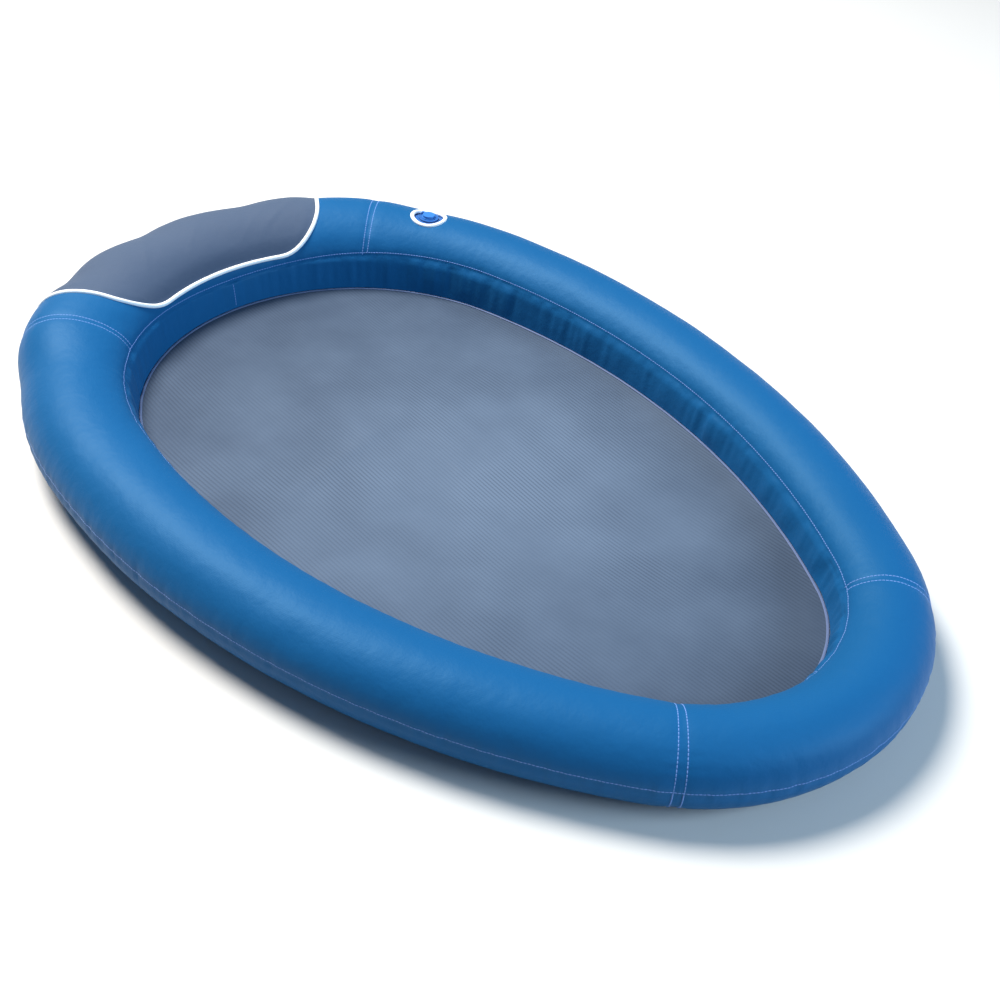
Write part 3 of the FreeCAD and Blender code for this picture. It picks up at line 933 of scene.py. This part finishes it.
def make_hem_binding():
    """A folded tape sewn over the joint of the net and the wall."""
    steps = 420
    half = BINDING_HALF_WIDTH
    points = []
    profile = ((1, 0), (0.9, 0.8), (0.4, 1.0), (-0.4, 1.0), (-0.9, 0.8), (-1, 0))
    for i in range(steps):
        station = Station(-HALF_PATH + 2 * HALF_PATH * i / steps)
        waver = 0.5 * MM * noise.noise(Vector((station.s * 30, 8.8, 0)))
        middle = station.hem() - station.out * (half + 0.8 * MM + waver)
        for across, up in profile:
            rise = up * BINDING_RISE - 0.4 * MM
            points.append(middle - station.out * across * half + UP * rise)
    columns = len(profile)
    faces = grid_faces(steps, columns, wrap=True)
    for i in range(steps):
        low, high = i * columns, ((i + 1) % steps) * columns
        faces.append((low + columns - 1, high + columns - 1, high, low))
    piece = new_piece("hem_binding_tape", points, faces)
    dress(piece, BINDING_CLOTH, "binding_tape")
    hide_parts("hem_binding")


# ---------------------------------------------------------------- stitching

def stitch_rows(name, rows):
    """Separate stitches along rows of (point, normal), as one piece of many small beads."""
    points, faces = [], []
    pitch = STITCH_LONG + STITCH_GAP
    for row in rows:
        lengths = [0.0]
        for a, b in zip(row, row[1:]):
            lengths.append(lengths[-1] + (b[0] - a[0]).length)
        at, k = 0.0, 0
        while at + STITCH_LONG < lengths[-1]:
            ends = []
            for where in (at, at + STITCH_LONG):
                while k + 1 < len(lengths) - 1 and lengths[k + 1] < where:
                    k += 1
                share = (where - lengths[k]) / max(1e-9, lengths[k + 1] - lengths[k])
                ends.append((row[k][0].lerp(row[k + 1][0], share), row[k][1]))
            add_stitch(points, faces, ends[0][0], ends[1][0], ends[0][1])
            at += pitch
    piece = new_piece(name, points, faces)
    dress(piece, THREAD, "cover_cloth")
    return piece


def add_stitch(points, faces, start, end, normal):
    """One stitch: a six-sided bead that dives into the cloth at both ends."""
    along = (end - start)
    across = along.cross(normal).normalized()
    sides = 6
    base = len(points)
    for share, size, sink in ((0, 0.6, 0.3), (0.15, 1.0, 0.0), (0.85, 1.0, 0.0), (1, 0.6, 0.3)):
        middle = start + along * share - normal * sink * THREAD_R
        for k in range(sides):
            angle = 2 * math.pi * k / sides
            offset = across * math.cos(angle) + normal * math.sin(angle)
            points.append(middle + offset * THREAD_R * size)
    for ring in range(3):
        low, high = base + ring * sides, base + (ring + 1) * sides
        for k in range(sides):
            faces.append((low + k, low + (k + 1) % sides, high + (k + 1) % sides, high + k))
    faces.append(tuple(base + k for k in reversed(range(sides))))
    faces.append(tuple(base + 3 * sides + k for k in range(sides)))


def below_seam(station, degrees, rise):
    point, normal = station.on_tube(degrees)
    return point + normal * (bottom_relief(station, degrees) + rise), normal


def row_along(start, end, place):
    """A row of (point, normal) along the tube; place(station) gives each one."""
    count = max(4, round((end - start) / (4 * MM)))
    return [place(Station(start + (end - start) * i / count)) for i in range(count + 1)]


def wall_joint_row(s):
    """The short row beside the joint of the two wall strips."""
    station = Station(s)
    normal = (station.out * -1 + UP * 0.3).normalized()
    steps = 24
    shares = [0.06 + 0.88 * i / steps for i in range(steps + 1)]
    return [(wall_profile(station, share) + normal * THREAD_LIFT, normal) for share in shares]


def cross_row_above(seam, aside):
    """A row beside a cross seam, from the outer seam over the crown to the inner seam."""
    steps = 90
    row = []
    for i in range(steps + 1):
        level = i / steps
        degrees = OUTER_SEAM + (INNER_SEAM - OUTER_SEAM) * level
        station = Station(seam_place(seam, degrees) + aside)
        degrees = OUTER_SEAM + (inner_seam(station.s) - OUTER_SEAM) * level
        row.append(on_cover(station, degrees, THREAD_LIFT))
    return row


def cross_row_below(seam, aside):
    """Its continuation under the outer seam, toward the floor."""
    station = Station(seam_place(seam, OUTER_SEAM) + aside)
    return [below_seam(station, OUTER_SEAM - LOWER_ROW_STEP * i, THREAD_LIFT)
            for i in range(LOWER_ROW_POINTS)]


def make_stitching():
    whole = (-HALF_PATH, HALF_PATH)
    inset = math.degrees(TOPSTITCH_IN / HALF_HEIGHT)
    outer = row_along(*whole, lambda st: head_point(st, OUTER_SEAM + inset, THREAD_LIFT))
    inner = row_along(*whole, lambda st: on_cover(st, inner_seam(st.s) - inset, THREAD_LIFT))
    stitch_rows("perimeter_stitching", [outer, inner])
    rows = [wall_joint_row(s) for s in (WALL_JOINT_ROW, HALF_PATH - WALL_JOINT_ROW)]
    for seam in CROSS_SEAMS:
        for side in (-1, 1):
            rows.append(cross_row_above(seam, side * TWIN_ROWS / 2))
            rows.append(cross_row_below(seam, side * TWIN_ROWS / 2))
    stitch_rows("cross_seam_stitching", rows)


# ---------------------------------------------------------------- air films and valve

def make_bladder():
    """The air chamber's two films, a little inside the cover, welded along both sides."""
    rows, count = 28, 300
    for name, start in (("upper", 0), ("lower", -180)):
        points = []
        for i in range(count):
            station = Station(-HALF_PATH + 2 * HALF_PATH * i / count)
            for j in range(rows + 1):
                point, normal = station.on_tube(start + 180 * j / rows)
                point = point - normal * BLADDER_INSET
                point.z = max(point.z, 3 * CLOTH)
                points.append(point)
        faces = grid_faces(count, rows + 1, wrap=True)
        piece = new_piece("bladder_" + name + "_sheet", points, faces)
        if name == "upper":
            cut_valve_opening(piece)
        solidify(piece, FILM_THICK)
        dress(piece, FILM, "air_film")
        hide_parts("bladder_" + name + "_film")


def dress_valve():
    # valve_base and valve_body take the darker finish, partly painted shade of the opening's recess
    finishes = {
        "valve_base": VALVE, "valve_body": VALVE, "tether_ring": CAP, "valve_cap": CAP,
        "valve_gasket": RUBBER, "check_flap": RUBBER,
    }
    for name, material in finishes.items():
        piece = bpy.data.objects[name]
        piece.data.materials.clear()
        piece.data.materials.append(material)


# ---------------------------------------------------------------- studio

def make_floor():
    size = 20.0
    mesh = bpy.data.meshes.new("studio_floor")
    mesh.from_pydata([(-size, -size, 0), (size, -size, 0), (size, size, 0), (-size, size, 0)],
                     [], [(0, 1, 2, 3)])
    floor = bpy.data.objects.new("studio_floor", mesh)
    bpy.context.scene.collection.objects.link(floor)
    mesh.materials.append(floor_material())


def area_light(name, place, target, size, power, colour=(1, 1, 1)):
    light = bpy.data.lights.new(name, "AREA")
    light.shape = "DISK"
    light.size = size
    light.energy = power
    light.color = colour
    holder = bpy.data.objects.new(name, light)
    holder.location = place
    direction = Vector(target) - Vector(place)
    holder.rotation_euler = direction.to_track_quat("-Z", "Y").to_euler()
    bpy.context.scene.collection.objects.link(holder)


def make_lights():
    area_light("key", (-0.3, 3.5, 5.6), (0, 0, 0.1), 3.0, 900, (1.0, 0.98, 0.92))
    area_light("fill", (1.9, -4.5, 2.4), (0, 0, 0.1), 2.6, 260, (0.60, 0.82, 1.0))
    world = bpy.data.worlds.new("studio")
    world.use_nodes = True
    background = world.node_tree.nodes["Background"]
    background.inputs["Color"].default_value = (0.45, 0.68, 1.0, 1)
    background.inputs["Strength"].default_value = 0.25
    bpy.context.scene.world = world
    bpy.context.scene.view_settings.view_transform = "Standard"


# The camera looks from beside the foot end across the well to the head.
CAMERA_AZIMUTH = -48.456
CAMERA_ELEVATION = 38.717
CAMERA_ROLL = 5.332
CAMERA_DISTANCE = 2.0
CAMERA_TARGET = (-0.0617, -0.1474, 0.0771)
CAMERA_LENS = 46.05


def make_camera():
    azimuth = math.radians(CAMERA_AZIMUTH)
    elevation = math.radians(CAMERA_ELEVATION)
    roll = math.radians(CAMERA_ROLL)
    back = Vector((math.sin(azimuth) * math.cos(elevation), -math.cos(azimuth) * math.cos(elevation),
                   math.sin(elevation)))
    right = (-back).cross(UP).normalized()
    up = right.cross(-back)
    rolled_right = right * math.cos(roll) + up * math.sin(roll)
    rolled_up = up * math.cos(roll) - right * math.sin(roll)
    camera = bpy.data.cameras.new("camera")
    camera.sensor_width = 36.0
    camera.lens = CAMERA_LENS
    holder = bpy.data.objects.new("camera", camera)
    turn = Matrix((rolled_right, rolled_up, back)).transposed()
    place = Vector(CAMERA_TARGET) + back * CAMERA_DISTANCE
    holder.matrix_world = Matrix.Translation(place) @ turn.to_4x4()
    bpy.context.scene.collection.objects.link(holder)
    bpy.context.scene.camera = holder


make_camera()
make_floor()
make_lights()
make_panels()
make_headrest()
make_headrest_piping()
make_valve_piping()
make_mesh_floor()
make_hem_binding()
make_stitching()
make_bladder()
dress_valve()
